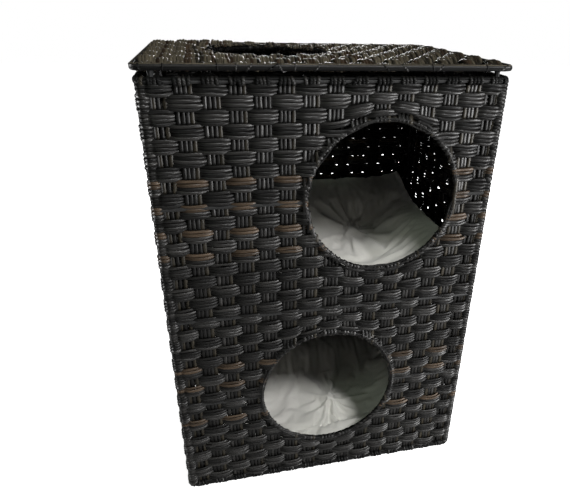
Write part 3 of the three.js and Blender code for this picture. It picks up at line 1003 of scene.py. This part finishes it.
def pad_top(u, v, pad):
    """How high a pad's upper face lies: low in the middle, climbing the walls, tufted and creased."""
    edge = np.maximum(np.abs(u), np.abs(v))
    back = smooth((v - 0.2) / 0.75)
    side = smooth((np.abs(u) - 0.45) / 0.5)
    peak = smooth((np.abs(u) - 0.6) / 0.4) * smooth((v - 0.6) / 0.4)
    seat = PAD_SEAT + pad["back"] * back + PAD_SIDE * side * (1 - back) + pad["peak"] * peak
    x, y = from_tuft(u, v, pad)
    away, around = np.hypot(x, y), np.arctan2(y, x)
    for angle, width, depth, length in pad["creases"]:
        reach = smooth(away / 0.12) * (1 - smooth((away - 0.6 * length) / (0.4 * length)))
        seat = seat - depth * reach * np.exp(-((angle_between(around, angle) / width) ** 2))
    seat = seat - PAD_TUFT * np.exp(-((away / TUFT_REACH) ** 2))
    crown = smooth((1 - edge) / 0.10) ** 0.5
    return PAD_EDGE + (seat - PAD_EDGE) * crown


def pad_faces(columns, rows):
    """The faces of a pad's two grids, upper and lower, and of the seam that joins their edges."""
    across = columns + 1
    count = across * (rows + 1)
    faces = []
    for row in range(rows):
        for column in range(columns):
            a = row * across + column
            faces.append((a, a + 1, a + across + 1, a + across))
            faces.append((count + a, count + a + across, count + a + across + 1, count + a + 1))
    loop = list(range(across)) + [row * across + columns for row in range(1, rows + 1)]
    loop += [rows * across + column for column in range(columns - 1, -1, -1)]
    loop += [row * across for row in range(rows - 1, 0, -1)]
    faces += [(a, count + a, count + b, b) for a, b in zip(loop, loop[1:] + loop[:1])]
    return faces


def pad_mesh(name, low, high, pad):
    """A closed pad between two corners, and how firmly its filling holds each of its points."""
    columns, rows = PAD_GRID
    u, v = np.meshgrid(np.linspace(-1, 1, columns + 1), np.linspace(-1, 1, rows + 1))
    middle, half = (low + high) / 2, (high - low) / 2
    rim = np.clip(1 - np.maximum(np.abs(u), np.abs(v)), 0, 1)
    below = 1 * MM + (PAD_EDGE - 2 * MM) * (1 - smooth(rim / 0.08))
    x, y = middle[0] + half[0] * u, middle[1] + half[1] * v
    layers = [np.stack([x, y, low[2] + z], -1).reshape(-1, 3) for z in (pad_top(u, v, pad), below)]
    mesh = bpy.data.meshes.new(name)
    mesh.from_pydata(np.concatenate(layers).tolist(), [], pad_faces(columns, rows))
    mesh.update()
    high_part = np.maximum(smooth((v - 0.3) / 0.5), smooth((np.abs(u) - 0.65) / 0.25))
    stuffed = PAD_STUFFING + (PAD_HIGH_STUFFING - PAD_STUFFING) * high_part
    above = np.where(np.hypot(*from_tuft(u, v, pad)) < 0.05, 1.0, np.round(stuffed, 2))
    return mesh, np.concatenate([above.ravel(), np.where(rim.ravel() > 0.06, 1.0, 0.0)])


def den_walls(low, high):
    """The inside of a den as an open box, for the cloth to press against."""
    x0, y0, z0 = low - PAD_ROOM
    x1, y1 = (high + PAD_ROOM)[:2]
    z1 = high[2] + PAD_HEADROOM
    corners = [(x, y, z) for z in (z0, z1) for x, y in ((x0, y0), (x1, y0), (x1, y1), (x0, y1))]
    faces = [(0, 1, 2, 3), (0, 4, 5, 1), (1, 5, 6, 2), (2, 6, 7, 3), (3, 7, 4, 0)]
    mesh = bpy.data.meshes.new("den_walls")
    mesh.from_pydata(corners, [], faces)
    walls = new_object("den_walls", mesh)
    walls.modifiers.new("press", "COLLISION")
    walls.collision.thickness_outer = CLOTH_GAP
    return walls


def settle(mesh, firm, low, high):
    """Lets a stuffed cover that is cut a little too large settle into its den, and wrinkle."""
    scene = bpy.context.scene
    walls = den_walls(low, high)
    pad = new_object("settling", mesh)
    group = pad.vertex_groups.new(name="firm")
    for hold in np.unique(firm):
        group.add(np.flatnonzero(firm == hold).tolist(), float(hold), "REPLACE")
    cloth = pad.modifiers.new("cloth", "CLOTH")
    for setting, value in CLOTH.items():
        setattr(cloth.settings, setting, value)
    cloth.collision_settings.distance_min = CLOTH_GAP
    scene.frame_start, scene.frame_end = 1, CLOTH_FRAMES
    cloth.point_cache.frame_start, cloth.point_cache.frame_end = 1, CLOTH_FRAMES
    for frame_number in range(1, CLOTH_FRAMES + 1):
        scene.frame_set(frame_number)
    settled = pad.evaluated_get(bpy.context.evaluated_depsgraph_get())
    points = np.empty(3 * len(mesh.vertices))
    settled.data.vertices.foreach_get("co", points)
    bpy.data.objects.remove(pad)
    bpy.data.objects.remove(walls)
    scene.frame_set(1)
    mesh.vertices.foreach_set("co", points)
    mesh.update()


def rounded(mesh):
    """A mesh after one level of subdivision, with smooth faces."""
    whole = new_object("rounding", mesh)
    whole.modifiers.new("round", "SUBSURF").levels = 1
    ready = whole.evaluated_get(bpy.context.evaluated_depsgraph_get())
    result = bpy.data.meshes.new_from_object(ready)
    bpy.data.objects.remove(whole)
    result.polygons.foreach_set("use_smooth", np.ones(len(result.polygons), bool))
    return result


def build_cushion(level, material, pad):
    low, high = box(f"{level}_cushion_cover")
    mesh, firm = pad_mesh(f"{level}_pad", low, high, pad)
    settle(mesh, firm, low, high)
    nodes = [f"{level}_cushion_{part}" for part in ("cover", "filling", "zip")]
    finish_piece(f"{level}_cushion_pad", rounded(mesh), material, f"{level}_cushion", *nodes)


# ---- Stage ----


def build_floor():
    """A pale floor: white to the camera, darker to the house's own light the further away it is."""
    mesh = bpy.data.meshes.new("floor")
    corners = [(FLOOR_REACH * x, FLOOR_REACH * y, 0) for x, y in CORNERS]
    mesh.from_pydata(corners, [], [(0, 1, 2, 3)])
    material, n = new_material("floor")
    seen = n.add("ShaderNodeLightPath").outputs["Is Camera Ray"]
    place = n.add("ShaderNodeNewGeometry").outputs["Position"]
    away = n.add("ShaderNodeVectorMath", {0: place}, operation="LENGTH").outputs["Value"]
    glow = n.math("MULTIPLY", seen, n.span(away, 0.3, 1.5, 0.70, 1.0))
    bounce = n.span(away, 0.3, 1.7, 0.55, 0.05)
    n.surface(Base_Color=n.mix(seen, bounce, grey(0.8)), Roughness=0.95, Specular_IOR_Level=0.0,
              Emission_Color=grey(1.0), Emission_Strength=glow)
    mesh.materials.append(material)
    new_object("floor", mesh)


def build_surround():
    """A surround that is white to the camera and lights the house only a little."""
    world = bpy.data.worlds.new("surround")
    bpy.context.scene.world = world
    world.use_nodes = True
    world.node_tree.nodes.clear()
    n = Nodes(world.node_tree)
    seen = n.add("ShaderNodeLightPath").outputs["Is Camera Ray"]
    sky = n.add("ShaderNodeBackground", {"Color": grey(1.0), "Strength": n.span(seen, 0.0, 1.0, 0.03, 1.0)})
    n.add("ShaderNodeOutputWorld", {"Surface": sky.outputs[0]})


def add_light(name, place, width, power, colour):
    """A square lamp that looks at the middle of the house."""
    data = bpy.data.lights.new(name, "AREA")
    data.size = width
    data.energy = power
    data.color = colour
    light = new_object(name, data)
    light.location = place
    aim = np.array([0, 0, BODY_HEIGHT / 2]) - np.array(place)
    light.rotation_euler = Vector(aim).to_track_quat("-Z", "Y").to_euler()


def build_camera():
    """Above and a little left of the middle, close to the house and looking down and to its right."""
    data = bpy.data.cameras.new("camera")
    data.sensor_width = CAMERA_SENSOR
    data.lens = CAMERA_LENS
    data.shift_x, data.shift_y = CAMERA_SHIFT
    data.clip_start = 0.01
    camera = new_object("camera", data)
    front_left = np.array([-HALF_X, -HALF_Y, BODY_LOW])
    camera.location = front_left + BODY_HEIGHT * np.array(CAMERA_PLACE)
    camera.rotation_euler = [math.radians(angle) for angle in CAMERA_TURN]
    bpy.context.scene.camera = camera


def paint_frame(wire, rubber, wicker):
    """Gives the CAD nodes that stay in sight their finish."""
    for name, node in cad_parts.items():
        if node.hide_render:
            continue
        material = wire
        if "glide" in name or "bumper" in name:
            material = rubber
        if "lashing" in name:
            material = wicker
        node.data.materials.clear()
        node.data.materials.append(material)


def main():
    wicker = wicker_material()
    wire = wire_material()
    rubber = rubber_material()
    build_walls(wicker)
    build_lid(wicker)
    for level in ("floor", "shelf"):
        build_flat(level, wicker, "house", LEVEL_COLUMNS, dark_tones, CREST)
    build_body_rim("top_rim", wicker, TOP_Z, TOP_RAILS, CORDS)
    build_body_rim("bottom_rim", wicker, BOTTOM_Z, BOTTOM_RAILS)
    build_lid_rim(wicker)
    for name, door in (("upper_door", UPPER_DOOR), ("lower_door", LOWER_DOOR)):
        build_ring_wraps(name, wicker, "house", door, DOOR_RING, FORWARD, DOOR_WIRE, DOOR_TURNS,
                         DOOR_TURN_PITCH, RING_RAILS)
    build_ring_wraps("lid_opening", wicker, "lid", LID_OPENING, LID_RING, UP, LID_WIRE, OPENING_TURNS,
                     OPENING_TURN_PITCH)
    cloth = cloth_material()
    for level, pad in PADS.items():
        build_cushion(level, cloth, pad)
    paint_frame(wire, rubber, wicker)
    build_floor()
    build_surround()
    for light in LIGHTS:
        add_light(*light)
    build_camera()
    bpy.context.scene.view_settings.view_transform = "Standard"


main()
